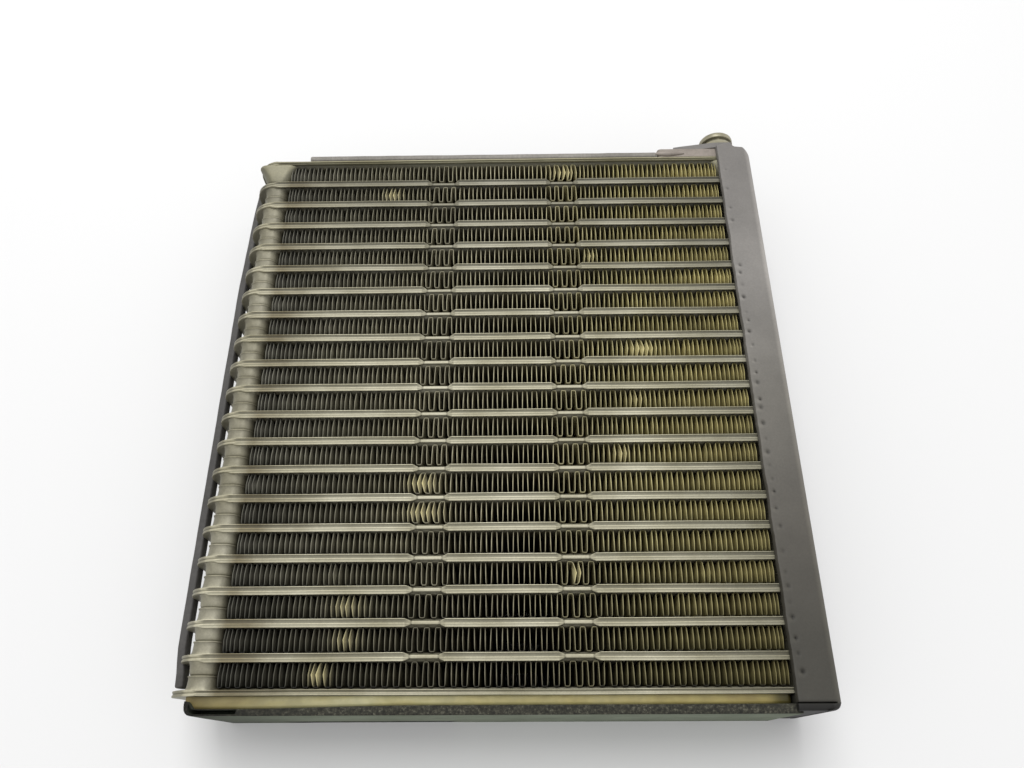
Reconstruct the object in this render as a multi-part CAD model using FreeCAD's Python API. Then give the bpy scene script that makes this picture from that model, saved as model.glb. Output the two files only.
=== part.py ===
"""Evaporator core of a car air conditioner, lying on its air outlet face.

Pairs of pressed plates are brazed rim to rim into flat tubes that run along X. Cups drawn in
both ends of every plate meet those of the next tube and form a tank at each end of the core.
A folded fin fills each space between two tubes. Foam strips seal the core into its case.

X runs along the tubes and Y across the stack, from the closed side to the connector. Z points
up through the core. The origin is the middle of the footprint, on the surface it lies on.
"""
import FreeCAD, Part
import math
import os

Vector = FreeCAD.Vector

# Stack of tubes and fins
fin_rows = 20
row_pitch = 11.0
last_row_pitch = 11.8
tube_length = 215.0
core_depth = 40.0

# Plate pair: a flat hollow body, a brazed rim and lips that flare out along both air faces
tube_thickness = 3.0
sheet = 0.5
lip_spread = 3.2
lip_height = 1.8
rim_thickness = 1.2
neck_height = 1.6
nose_length = 10.8
nose_thickness = 2.2
nose_radius = 10.0
end_lip_spread = 2.0

# Drain notches, where both lips of a tube are cut away down to the rim
notch_length = 9.4
notch_slope = 2.0
notch_offset = 25.9
notch_shift = 1.9

# Cups that meet halfway between two tubes; those under the foam lie nearer their end
cup_width = 9.7
cup_inset = 4.6
sealed_cup_inset = 0.5
cup_recess = 1.6
cup_crown = 1.6
cup_bevel = 2.4
cup_draft = 0.3
cup_pad = 2.2

# Folded fin, drawn at a coarser fold pitch and in thicker sheet than the real one
fin_legs = 29
fin_wall = 0.6
fin_recess = 1.7
fin_gap = 0.3

# Drawn cover of the crossover passage on the closed side
passage_depth = 3.1
passage_wall = 1.0
passage_inset = 3.0
passage_left = 5.2
passage_right = 12.5
passage_radius = 2.6

# Connector block and its two spigots
block_thickness = 4.5
block_length = 35.9
block_end_gap = 1.0
spigot_end_gap = 0.1
spigot_spacing = 20.0
spigot_length = 11.6
spigot_bore = 9.0
spigot_bore_depth = 14.0
collar_diameter = 15.0
collar_length = 2.4
groove_diameter = 12.2
groove_length = 1.8

# Foam seals
foam = 3.0
wrap_width = 14.1
wrap_near_overhang = 4.1
wrap_radius = 2.0
strip_height = 5.0
strip_drop = 10.0
strip_near_gap = 2.3
strip_far_gap = 4.5
near_foam_left = 6.5
near_foam_tuck = 2.0
near_foam_taper = 5.5
near_foam_squeeze = 2.2
far_strip = 2.4
far_strip_left = 23.7
far_strip_gap = 0.6
far_strip_proud = 1.5
patch_inset = 4.0
patch_rise = 4.3
patch_clearance = 0.3

# Levels and places worked out from the sizes above
z_low = foam
z_high = foam + core_depth
z_mid = (z_low + z_high) / 2
z_table = 0.0
half_tube = tube_thickness / 2
half_length = tube_length / 2
tube_count = fin_rows - 1
y_last_tube = tube_count * row_pitch
y_far_plate = y_last_tube + last_row_pitch
near_back = -end_lip_spread / 2
far_back = y_far_plate + end_lip_spread / 2
block_back = far_back + block_thickness
patch_back = block_back + foam
spigot_tip = block_back + spigot_length
passage_front = near_back - passage_depth
near_foam_front = passage_front - foam
cup_ends = {-1: half_length - cup_inset, 1: half_length - sealed_cup_inset}
fin_left = -cup_ends[-1] + cup_width + fin_gap
fin_right = cup_ends[1] - cup_width - fin_gap
wrap_left = half_length + foam - wrap_width
notch_places = (notch_shift - notch_offset, notch_shift + notch_offset)
block_right = half_length - block_end_gap
block_left = block_right - block_length
spigot_x = half_length - spigot_end_gap - collar_diameter / 2
spigot_z = (z_mid - spigot_spacing / 2, z_mid + spigot_spacing / 2)
y_centre = (near_foam_front + spigot_tip) / 2


def face_of(points):
    """Flat face inside a closed run of straight edges."""
    return Part.Face(Part.makePolygon(points + points[:1]))


def along_x(outline, start, end):
    """Solid with a (y, z) outline between two x places."""
    return face_of([Vector(start, y, z) for y, z in outline]).extrude(Vector(end - start, 0, 0))


def along_y(outline, start, end):
    """Solid with an (x, z) outline between two y places."""
    return face_of([Vector(x, start, z) for x, z in outline]).extrude(Vector(0, end - start, 0))


def along_z(outline, start, end):
    """Solid with an (x, y) outline between two z levels."""
    return face_of([Vector(x, y, start) for x, y in outline]).extrude(Vector(0, 0, end - start))


def box(low, high):
    """Block between two opposite corners."""
    size = [b - a for a, b in zip(low, high)]
    return Part.makeBox(size[0], size[1], size[2], Vector(*low))


def cylinder(diameter, start, end, x, z):
    """Round bar along Y."""
    return Part.makeCylinder(diameter / 2, end - start, Vector(x, start, z), Vector(0, 1, 0))


def rim_points(low, high, spread, edge, inward):
    """Half of a plate section, from its low face round one rim and its lips to its high face."""
    rim = rim_thickness / 2
    shoulder = edge + inward * (lip_height + neck_height)
    root = edge + inward * lip_height
    groove = edge + inward * (lip_height - sheet / 2)
    tip = spread / 2 - sheet
    return [(low, shoulder), (-rim, root), (-spread / 2, edge), (-tip, edge), (0, groove),
            (tip, edge), (spread / 2, edge), (rim, root), (high, shoulder)]


def plate_section(y, low, high, spread):
    """Closed section of a plate pair across its length, with lips on both air faces."""
    upper = rim_points(low, high, spread, z_high, -1)
    lower = rim_points(low, high, spread, z_low, 1)
    return [(y + a, z) for a, z in upper + lower[::-1]]


def rounded_nose(at, inner, outer, radius):
    """Outline of a plate end whose two corners turn down from the air faces in an arc."""
    towards = math.copysign(1, outer - inner)
    bend = outer - towards * radius
    drop = radius * (1 - math.sqrt(0.5))
    mid = outer - towards * drop
    low = [Vector(bend, at, z_low), Vector(mid, at, z_low + drop), Vector(outer, at, z_low + radius)]
    high = [Vector(outer, at, z_high - radius), Vector(mid, at, z_high - drop), Vector(bend, at, z_high)]
    root_low = Vector(inner, at, z_low)
    root_high = Vector(inner, at, z_high)
    return Part.Wire([
        Part.makeLine(root_low, low[0]),
        Part.Arc(*low).toShape(),
        Part.makeLine(low[-1], high[0]),
        Part.Arc(*high).toShape(),
        Part.makeLine(high[-1], root_high),
        Part.makeLine(root_high, root_low),
    ])


def nose(y, low, high, side):
    """Flat end of a plate: rounded at the open tank, square under the foam."""
    inner = side * (half_length - nose_length)
    outer = side * half_length
    if side < 0:
        outline = rounded_nose(y + low, inner, outer, nose_radius)
        return Part.Face(outline).extrude(Vector(0, high - low, 0))
    return box((inner, y + low, z_low), (outer, y + high, z_high))


def cup_wire(side, y, inset):
    """Outline of a cup: straight flanks and a bevelled crown at each end."""
    outer = side * (cup_ends[side] - inset)
    inner = side * (cup_ends[side] - cup_width + inset)
    bevel = side * cup_bevel
    top = z_high - cup_recess - inset
    low = z_low + cup_recess + inset
    points = [(outer, low + cup_crown), (outer, top - cup_crown), (outer - bevel, top),
              (inner + bevel, top), (inner, top - cup_crown), (inner, low + cup_crown),
              (inner + bevel, low), (outer - bevel, low)]
    corners = [Vector(x, y, z) for x, z in points]
    return Part.makePolygon(corners + corners[:1])


def cup(side, root, mouth):
    """Cup drawn out of a plate, slightly smaller at its mouth."""
    return Part.makeLoft([cup_wire(side, root, 0), cup_wire(side, mouth, cup_draft)], True, True)


def notch(y, x):
    """Trapezoid that clears both lips above the rim."""
    floor = z_high - lip_height
    half = notch_length / 2
    rise = half + notch_slope
    outline = [(x - half, floor), (x + half, floor), (x + rise, z_high), (x + rise, z_high + 1),
               (x - rise, z_high + 1), (x - rise, z_high)]
    return along_y(outline, y - lip_spread, y + lip_spread)


def plate(y, low, high, spread, cups):
    """Brazed plate with its noses and the cups given as distances from its middle."""
    body_end = half_length - nose_length
    body = along_x(plate_section(y, low, high, spread), -body_end, body_end)
    extras = [nose(y, max(low, -nose_thickness / 2), min(high, nose_thickness / 2), side)
              for side in (-1, 1)]
    extras += [cup(side, y, y + reach) for side in (-1, 1) for reach in cups]
    return body.multiFuse(extras).removeSplitter()


def tube(number):
    """Plate pair with cups on both sides and drain notches in its upper lips."""
    y = number * row_pitch
    far_reach = cup_pad if number == tube_count else row_pitch / 2
    solid = plate(y, -half_tube, half_tube, lip_spread, (-row_pitch / 2, far_reach))
    return solid.cut([notch(y, x) for x in notch_places])


def fin(row):
    """Sheet folded to and fro between two tubes, from one tank to the other."""
    low = (row - 1) * row_pitch + half_tube
    high = (y_far_plate if row == fin_rows else row * row_pitch) - half_tube
    step = (fin_right - fin_left) / fin_legs
    near_side = [(fin_left + step * i, high - fin_wall if i % 2 else low)
                 for i in range(fin_legs + 1)]
    far_side = [(x, y + fin_wall) for x, y in near_side]
    return along_z(near_side + far_side[::-1], z_low + fin_recess, z_high - fin_recess)


def near_passage():
    """Drawn tray brazed behind the last plate on the closed side, open towards that plate."""
    left = -half_length + passage_left
    right = half_length - passage_right
    low = z_low + passage_inset
    high = z_high - passage_inset
    tray = box((left, passage_front, low), (right, near_back, high))
    outer_edges = [e for e in tray.Edges
                   if e.BoundBox.ZLength > 1 and e.BoundBox.YMax < passage_front + passage_wall]
    tray = tray.makeFillet(passage_radius, outer_edges)
    pocket = box((left + passage_radius, passage_front + passage_wall, low + passage_wall),
                 (right - passage_radius, near_back, high - passage_wall))
    return tray.cut(pocket)


def spigot(z):
    """Round pipe end with two collars and a groove for a sealing ring between them."""
    groove_end = spigot_tip - collar_length
    groove_start = groove_end - groove_length
    base = cylinder(collar_diameter, block_back, groove_start, spigot_x, z)
    return base.multiFuse([
        cylinder(groove_diameter, groove_start, groove_end, spigot_x, z),
        cylinder(collar_diameter, groove_end, spigot_tip, spigot_x, z),
    ])


def far_end_plate():
    """Outer plate with deep cups, and the connector block and spigots brazed on behind it."""
    deep_cup = cup_pad - last_row_pitch
    solid = plate(y_far_plate, -half_tube, end_lip_spread / 2, end_lip_spread, (deep_cup,))
    block = box((block_left, far_back, z_low), (block_right, block_back, z_high))
    solid = solid.multiFuse([block] + [spigot(z) for z in spigot_z])
    bores = [cylinder(spigot_bore, spigot_tip - spigot_bore_depth, spigot_tip, spigot_x, z)
             for z in spigot_z]
    return solid.cut(bores).removeSplitter()


def tank_seal():
    """Foam sheet folded round the tank end, with a patch over the connector block."""
    outer = half_length + foam
    top = z_high + foam
    bend = wrap_radius
    outline = [(wrap_left, z_table), (outer - bend, z_table), (outer, z_table + bend),
               (outer, top - bend), (outer - bend, top), (wrap_left, top), (wrap_left, z_high),
               (half_length, z_high), (half_length, z_low), (wrap_left, z_low)]
    wrap = along_y(outline, -wrap_near_overhang, block_back)
    patch_left = block_left + patch_inset
    patch = along_y([(patch_left, z_table + bend), (outer - bend, z_table + bend),
                     (outer - bend, top - bend), (wrap_left, top - bend),
                     (patch_left, top - bend - patch_rise)], block_back, patch_back)
    reach = collar_diameter / 2 + patch_clearance
    window = box((spigot_x - reach, block_back, min(spigot_z) - reach),
                 (spigot_x + reach, patch_back, max(spigot_z) + reach))
    return wrap.fuse(patch).cut(window).removeSplitter()


def left_seal():
    """Foam strip bonded along the plate noses."""
    high = z_high - strip_drop
    return box((-half_length - foam, strip_near_gap, high - strip_height),
               (-half_length, y_far_plate - strip_far_gap, high))


def near_seal():
    """Foam strip over the passage cover, squeezed towards the core at the tank end."""
    left = -half_length + near_foam_left
    right = wrap_left + near_foam_tuck
    back = passage_front
    front = near_foam_front
    outline = [(left, back), (left, front), (right - near_foam_taper, front),
               (right, front + near_foam_squeeze), (right, back)]
    return along_z(outline, z_table, z_high)


def far_seal():
    """Foam strip on the outer plate, standing a little proud of the air face."""
    left = -half_length + far_strip_left
    right = block_left - far_strip_gap
    return box((left, far_back, z_table), (right, far_back + far_strip, z_high + far_strip_proud))


nodes = {}
for tube_number in range(1, tube_count + 1):
    nodes["tube_%02d" % tube_number] = tube(tube_number)
for fin_row in range(1, fin_rows + 1):
    nodes["fin_%02d" % fin_row] = fin(fin_row)
nodes["near_end_plate"] = plate(0, near_back, half_tube, end_lip_spread, (row_pitch / 2,))
nodes["far_end_plate"] = far_end_plate()
nodes["near_passage"] = near_passage()
nodes["tank_seal"] = tank_seal()
nodes["left_seal"] = left_seal()
nodes["near_seal"] = near_seal()
nodes["far_seal"] = far_seal()

os.makedirs("parts", exist_ok=True)
for name, shape in nodes.items():
    shape.translate(Vector(0, -y_centre, 0))
    shape.exportStep("parts/" + name + ".step")
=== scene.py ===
"""Looks of a used evaporator core: brazed plate pairs, folded fins, foam seals and two spigots."""
import math
import bmesh
import bpy
import numpy as np
from mathutils import Matrix, Vector, noise


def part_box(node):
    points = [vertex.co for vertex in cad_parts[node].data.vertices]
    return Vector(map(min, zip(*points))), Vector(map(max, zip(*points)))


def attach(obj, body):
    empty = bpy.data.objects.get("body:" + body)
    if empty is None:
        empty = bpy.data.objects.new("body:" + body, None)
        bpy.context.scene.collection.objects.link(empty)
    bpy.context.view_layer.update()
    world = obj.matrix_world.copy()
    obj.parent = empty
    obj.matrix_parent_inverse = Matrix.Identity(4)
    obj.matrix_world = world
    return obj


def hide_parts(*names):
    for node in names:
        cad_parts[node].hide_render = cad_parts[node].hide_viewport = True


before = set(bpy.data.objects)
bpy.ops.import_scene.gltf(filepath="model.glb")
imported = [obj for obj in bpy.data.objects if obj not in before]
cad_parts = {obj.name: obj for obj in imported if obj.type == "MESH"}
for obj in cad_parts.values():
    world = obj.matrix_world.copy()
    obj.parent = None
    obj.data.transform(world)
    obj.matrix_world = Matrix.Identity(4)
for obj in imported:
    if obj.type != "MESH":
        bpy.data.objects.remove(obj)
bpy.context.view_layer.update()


# Plate pairs. Each tube is two pressed aluminium sheets brazed rim to rim, with lips that flare
# along the air faces, drain notches in the upper lips and cups at both ends that form the tanks.
MM = 0.001


def box_mm(node_name):
    """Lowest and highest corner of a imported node, in millimetres."""
    low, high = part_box(node_name)
    return low / MM, high / MM


tube_low, tube_high = box_mm("tube_01")
row_pitch = box_mm("tube_02")[0].y - tube_low.y
half_length = tube_high.x
z_low, z_high = tube_low.z, tube_high.z
z_mid = (z_low + z_high) / 2
half_depth = z_high - z_mid
last_row = box_mm("fin_20")[0].y
lip_height = 1.7


def linear(hex_colour):
    """Colour for a socket, from an sRGB hex value."""
    values = [int(hex_colour[i:i + 2], 16) / 255 for i in (1, 3, 5)]
    return [v / 12.92 if v <= 0.04045 else ((v + 0.055) / 1.055) ** 2.4 for v in values] + [1.0]


def add_node(tree, kind, inputs=(), stops=(), **settings):
    """Adds a node with its settings; the kind of a shader node goes without ShaderNode. Its inputs, by name
    or in order, take a value, or the socket or node that feeds them. A colour ramp also takes its stops,
    each a position and an sRGB hex value."""
    node = tree.nodes.new(kind if "Node" in kind else "ShaderNode" + kind)
    for key, value in settings.items():
        setattr(node, key, value)
    for key, value in inputs.items() if isinstance(inputs, dict) else enumerate(inputs):
        if isinstance(value, bpy.types.Node):
            value = next(socket for socket in value.outputs if socket.enabled)
        if isinstance(value, bpy.types.NodeSocket):
            tree.links.new(value, node.inputs[key])
        else:
            node.inputs[key].default_value = value
    if stops:
        stones = node.color_ramp.elements
        for stone, (position, colour) in zip(stones, (stops[0], stops[-1])):
            stone.position = position
            stone.color = linear(colour)
        for position, colour in stops[1:-1]:
            stones.new(position).color = linear(colour)
    return node


def new_material(name):
    """Empty material, its tree, and the place on a piece in millimetres, whole and as X, Y and Z."""
    material = bpy.data.materials.new(name)
    material.use_nodes = True
    tree = material.node_tree
    tree.nodes.clear()
    metres = add_node(tree, "TexCoord").outputs["Object"]
    place = add_node(tree, "VectorMath", {0: metres, "Scale": 1 / MM}, operation="SCALE")
    return material, tree, place, add_node(tree, "SeparateXYZ", [place]).outputs


def off_middle(tree, at):
    """Distance of a place from the middle plane of the core, at half its depth."""
    height = add_node(tree, "Math", (at["Z"], z_mid), operation="SUBTRACT")
    return add_node(tree, "Math", [height], operation="ABSOLUTE")


def layered(tree, tone, *films):
    """Tone under films that each darken, lighten or tint it."""
    for film in films:
        tone = add_node(tree, "Mix", {"Factor": 1.0, "A": tone, "B": film},
                        data_type="RGBA", blend_type="MULTIPLY")
    return tone


def close_material(tree, inputs, relief=None, strength=0.15, height=0.1):
    """Ends a material with its shader. A relief gives it bumps, with their height in millimetres."""
    if relief is not None:
        inputs["Normal"] = add_node(tree, "Bump", {
            "Strength": strength, "Distance": height * MM, "Height": relief})
    shader = add_node(tree, "BsdfPrincipled", inputs)
    add_node(tree, "OutputMaterial", {"Surface": shader})


def aged_metal(name, dark, light, metallic, roughness, patch=28.6, lip_shade=1.0, stain=0.0, far_tone=1.0,
               right_tone=1.0, cup_film="#ffffff"):
    """Brazed aluminium under a film of dust: two tones in soft patches with a size in millimetres, and grit.
    Edges are painted paler as highlights and grooves darker as shade. Painted shade darkens whatever lies
    below the lips, and a brown stain can spread from the left end. The far rows and the right ends can be
    darker."""
    left, right = -half_length, half_length
    material, tree, place, at = new_material(name)
    clouds = add_node(tree, "TexNoise", {
        "Vector": place, "Scale": 1 / patch, "Detail": 5.0, "Roughness": 0.6})
    film = add_node(tree, "ValToRGB", [clouds], [(0.32, dark), (0.68, light)])
    # The grit is drawn 0.7 mm wide, because real dust would be too fine to show.
    specks = add_node(tree, "TexNoise", {
        "Vector": place, "Scale": 1 / 0.714, "Detail": 2.0, "Roughness": 0.6})
    grit = add_node(tree, "MapRange", (specks, 0.3, 0.7, 0.9, 1.08))
    # Painted light from the curvature: convex edges paler as highlights, grooves darker as shade.
    bend = add_node(tree, "NewGeometry").outputs["Pointiness"]
    curvature_light = add_node(tree, "MapRange", (bend, 0.44, 0.56, 0.7, 1.2))
    # Painted light that each point carries: highlights on the lip edges, shade in the lip grooves.
    wear_and_painted_light = add_node(tree, "Attribute", attribute_name="wear_and_painted_light").outputs["Fac"]
    painted_lip_light = add_node(tree, "MapRange", (wear_and_painted_light, 0.0, 1.0, 0.35, 1.6))
    # Painted shade under the lips: whatever lies below their foot is darker.
    lip_foot = half_depth - lip_height
    below = add_node(tree, "MapRange", (off_middle(tree, at), lip_foot, lip_foot + 0.6, lip_shade, 1.0))
    # The stain ends in a ragged front, and the noses are clear of it.
    ragged = add_node(tree, "TexNoise", {
        "Vector": place, "Scale": 1 / 18.2, "Detail": 3.0, "Roughness": 0.55})
    front = add_node(tree, "Math", (ragged, 50.0, at["X"]), operation="MULTIPLY_ADD")
    stained = add_node(tree, "Math", (
        add_node(tree, "MapRange", (front, left + 39.5, left + 67.5, stain, 0.0)),
        add_node(tree, "MapRange", (at["X"], left + 12.5, left + 16.5, 0.2, 1.0))), operation="MULTIPLY")
    brown = add_node(tree, "Mix", {
        "Factor": stained, "A": linear("#ffffff"), "B": linear("#a39a86")}, data_type="RGBA")
    # The cups at the left end keep their tone, apart from the last ones, which take painted shade. The far
    # rows are darker.
    last_cups = add_node(tree, "MapRange", (at["Y"], last_row - 15.1, last_row - 1.1, 0.0, 0.6))
    on_rail = add_node(tree, "MapRange", (at["X"], left + 14.5, left + 47.5, last_cups, 1.0))
    far_darkening = add_node(tree, "Mix", {
        "Factor": on_rail, "A": linear(cup_film),
        "B": add_node(tree, "MapRange", (at["Y"], 5.0, last_row - 1.1, 1.0, far_tone))}, data_type="RGBA")
    # The right ends are darker.
    right_darkening = add_node(tree, "MapRange", (at["X"], right - 47.5, right - 17.5, 1.0, right_tone))
    tone = layered(tree, film, grit, curvature_light, painted_lip_light, below, brown, far_darkening, right_darkening)
    close_material(tree, {"Base Color": tone, "Metallic": metallic, "Roughness": roughness}, specks)
    return material


def grid_faces(rows, columns, closed, start=0, looped=False):
    """Quads between rows of points that follow each other. Closed rows join their last point to the first,
    and looped ones go on from the last row to the first."""
    last = columns if closed else columns - 1
    return [(start + r * columns + c, start + r * columns + (c + 1) % columns,
             start + (r + 1) % rows * columns + (c + 1) % columns, start + (r + 1) % rows * columns + c)
            for r in range(rows if looped else rows - 1) for c in range(last)]


def mesh_piece(name, points, faces, sharp_angle=40, wear_and_painted_light=None):
    """Object from points in millimetres, normals outward, smooth apart from edges sharper than the angle.
    Its points can carry wear and painted light, where 0.5 is plain."""
    mesh = bpy.data.meshes.new(name)
    mesh.from_pydata((np.asarray(points, float) * MM).tolist(), [], faces)
    levels = np.full(len(points), 0.5)
    if wear_and_painted_light is not None:
        levels[:len(wear_and_painted_light)] = wear_and_painted_light
    mesh.attributes.new("wear_and_painted_light", "FLOAT", "POINT").data.foreach_set("value", levels)
    turned = bmesh.new()
    turned.from_mesh(mesh)
    bmesh.ops.recalc_face_normals(turned, faces=turned.faces)
    turned.to_mesh(mesh)
    turned.free()
    mesh.shade_smooth()
    mesh.set_sharp_from_angle(angle=math.radians(sharp_angle))
    piece = bpy.data.objects.new(name, mesh)
    bpy.context.scene.collection.objects.link(piece)
    return piece


def place_piece(piece, material, slot_name, *node_names):
    """Gives a finished piece its material and hangs it in the frame in place of its nodes."""
    piece.data.materials.clear()
    piece.data.materials.append(material)
    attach(piece, "root")
    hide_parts(*node_names)


# Dull grey metal under a thin khaki film of dust, with painted highlights along the edges and painted shade
# in the grooves and under the lips.
plate_metal = aged_metal("brazed aluminium plate", "#938e76", "#b5b19c", 0.3, 0.5, lip_shade=0.57, stain=0.9,
                         far_tone=0.49, right_tone=0.67)

nose_radius = 10.0
hidden_radius = 4.0
notch_places = (-24.0, 27.8)
notch_half = 4.9
notch_slope = 2.0

# Section from the far shoulder over both lips to the near shoulder, as (distance in from the air
# face, distance from the middle plane), then the same points on a drain notch and on a nose.
open_lips = np.array([
    (3.6, 1.5), (3.0, 1.42), (2.45, 1.08), (2.05, 0.76), (1.7, 0.68), (1.2, 0.75), (0.6, 1.0), (0.15, 1.15),
    (0.0, 1.13), (0.0, 1.0), (0.28, 0.92), (0.4, 0.82), (0.62, 0.1), (0.64, 0.0),
    (0.62, -0.1), (0.12, -0.3), (0.0, -0.38), (0.02, -0.5), (0.12, -0.62), (0.16, -1.35), (0.24, -1.52),
    (0.55, -1.6), (1.1, -1.1), (1.6, -0.72), (2.05, -0.74), (2.45, -1.08), (3.0, -1.42), (3.6, -1.5)])
notch_bar = np.array([
    (3.6, 1.5), (3.0, 1.42), (2.6, 1.2), (2.35, 0.95), (2.15, 0.78), (2.0, 0.7), (1.85, 0.67), (1.7, 0.65),
    (1.6, 0.62), (1.5, 0.55), (1.44, 0.45), (1.41, 0.3), (1.4, 0.15), (1.4, 0.0),
    (1.4, -0.12), (1.4, -0.22), (1.41, -0.32), (1.43, -0.42), (1.47, -0.5), (1.52, -0.56), (1.6, -0.61),
    (1.85, -0.67), (2.0, -0.7), (2.15, -0.78), (2.35, -0.95), (2.6, -1.2), (3.0, -1.42), (3.6, -1.5)])
closed_nose = np.array([
    (3.6, 1.1), (3.0, 1.1), (2.6, 1.08), (2.2, 1.02), (1.8, 0.98), (1.4, 0.98), (0.9, 1.0), (0.4, 1.02),
    (0.12, 1.0), (0.02, 0.88), (0.0, 0.65), (0.06, 0.42), (0.22, 0.16), (0.4, 0.0),
    (0.36, -0.06), (0.16, -0.22), (0.05, -0.38), (0.0, -0.6), (0.02, -0.85), (0.1, -1.0), (0.3, -1.04),
    (0.9, -1.0), (1.4, -0.98), (1.8, -0.98), (2.2, -1.02), (2.6, -1.08), (3.0, -1.1), (3.6, -1.1)])

# Painted light on the points of a section: painted highlights on the edges above 0.5, painted shade in the
# grooves below.
lip_painted_light = np.array([0.3, 0.3, 0.3, 0.3, 0.3, 0.35, 0.45, 0.62, 0.74, 0.66, 0.26, 0.18, 0.24, 0.3,
                       0.3, 0.5, 0.92, 0.8, 0.34, 0.6, 0.66, 0.4, 0.3, 0.3, 0.3, 0.3, 0.3, 0.3])
bar_painted_light = np.array([0.3, 0.3, 0.3, 0.3, 0.35, 0.45, 0.55, 0.65, 0.72, 0.74, 0.7, 0.66, 0.6, 0.6,
                       0.6, 0.6, 0.66, 0.66, 0.6, 0.5, 0.4, 0.3, 0.3, 0.3, 0.3, 0.3, 0.3, 0.3])


def arc_stations(centre_x, centre_z, radius, start, end, steps):
    """Points on an arc and the directions from them to its centre."""
    angles = np.radians(np.linspace(start, end, steps))
    outward = np.stack([np.cos(angles), np.sin(angles)], axis=1)
    return np.array([centre_x, centre_z]) + radius * outward, -outward


def straight_stations(xs, zs, inward):
    """Points on a straight stretch of the outline, all with the same inward direction."""
    points = np.stack(np.broadcast_arrays(np.asarray(xs, float), np.asarray(zs, float)), axis=1)
    return points, np.tile(np.array(inward, float), (len(points), 1))


def plate_outline():
    """Outline of a plate seen from its side, with the inward direction at each station."""
    right = half_length - hidden_radius
    left = -half_length + nose_radius
    ramps = [place + side * (notch_half + step)
             for place in notch_places for side in (-1, 1)
             for step in (-0.75, -0.55, -0.45, -0.2, 0.0, 0.1, 0.6, 1.2, 1.8, 2.0, 2.2)]
    near_nose = np.linspace(left, left + 6.0, 9)
    top = np.concatenate([np.linspace(left, right, 40), near_nose, ramps])
    top = np.array(sorted(set(np.round(top, 3))))
    nose = np.linspace(z_high - nose_radius, z_low + nose_radius, 6)
    parts = [
        straight_stations(top[::-1][1:-1], z_high, (0, -1)),
        arc_stations(left, z_high - nose_radius, nose_radius, 90, 180, 12),
        straight_stations(-half_length, nose[1:-1], (1, 0)),
        arc_stations(left, z_low + nose_radius, nose_radius, 180, 270, 10),
        straight_stations(np.linspace(left, right, 24)[1:-1], z_low, (0, 1)),
        arc_stations(right, z_low + hidden_radius, hidden_radius, -90, 0, 4),
        arc_stations(right, z_high - hidden_radius, hidden_radius, 0, 90, 4),
    ]
    return np.concatenate([p for p, _ in parts]), np.concatenate([n for _, n in parts])


def ramp(values, start, end):
    """Smooth step from 0 at start to 1 at end."""
    share = np.clip((values - start) / (end - start), 0, 1)
    return share * share * (3 - 2 * share)


def plate_points(y, rng, lip_share, near_face, far_face, nose_curl, turned_round):
    """Sections along the outline of one plate pair, and the painted light of their points: highlights
    on the lip edges and shade in the grooves. End plates have narrower lips and no notches, and the far one
    is turned round."""
    points, inward = plate_outline()
    x = points[:, 0]
    on_top = points[:, 1] > z_high - 0.01
    groove_start = rng.uniform(6.0, 9.0) - half_length
    opened = ramp(x, groove_start, groove_start + 1.6) * ramp(-x, -half_length + 4, -half_length + 7)
    reach = np.min([np.abs(x - place) for place in notch_places], axis=0)
    notched = on_top * (lip_share == 1.0)
    cut = np.clip((notch_half + notch_slope - reach) / notch_slope, 0, 1) * notched
    neck = np.clip(1 - np.abs(reach - notch_half + 0.1) / 0.35, 0, 1) * notched
    lips = open_lips.copy()
    lips[4:25, 1] *= lip_share
    if turned_round:
        lips = lips[::-1] * (1, -1)
    section = lips[None] * (1 - cut)[:, None, None] + notch_bar[None] * cut[:, None, None]
    section = section * opened[:, None, None] + closed_nose[None] * (1 - opened)[:, None, None]
    free = np.clip(1 - section[..., 0] / 3.0, 0, 1)
    section[..., 1] *= 1 - 0.45 * neck[:, None] * free
    section[..., 0] += 0.3 * neck[:, None] * free
    section[..., 1] = np.clip(section[..., 1], near_face, far_face)
    # Lips wander a little from side to side and up and down.
    phases = rng.uniform(0, 2 * math.pi, 4)
    bend = 0.07 * np.sin(x / 31.0 + phases[0]) + 0.03 * np.sin(x / 9.0 + phases[1])
    sink = 0.05 * np.sin(x / 23.0 + phases[2]) + 0.03 * np.sin(x / 6.5 + phases[3])
    depth = section[..., 0] + np.abs(sink)[:, None] * free * opened[:, None]
    xz = points[:, None, :] + inward[:, None, :] * depth[..., None]
    curl = nose_curl * np.exp(-((xz[..., 1] - z_high + 8.0) / 3.5) ** 2) * (xz[..., 0] < -half_length + 6)
    ys = y + section[..., 1] + bend[:, None] * free * opened[:, None]
    wear_and_painted_light = lip_painted_light * (1 - cut)[:, None] + bar_painted_light * cut[:, None]
    wear_and_painted_light = wear_and_painted_light * opened[:, None] + 0.5 * (1 - opened)[:, None]
    return np.stack([xz[..., 0] - curl, ys, xz[..., 1]], axis=2), wear_and_painted_light


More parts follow.
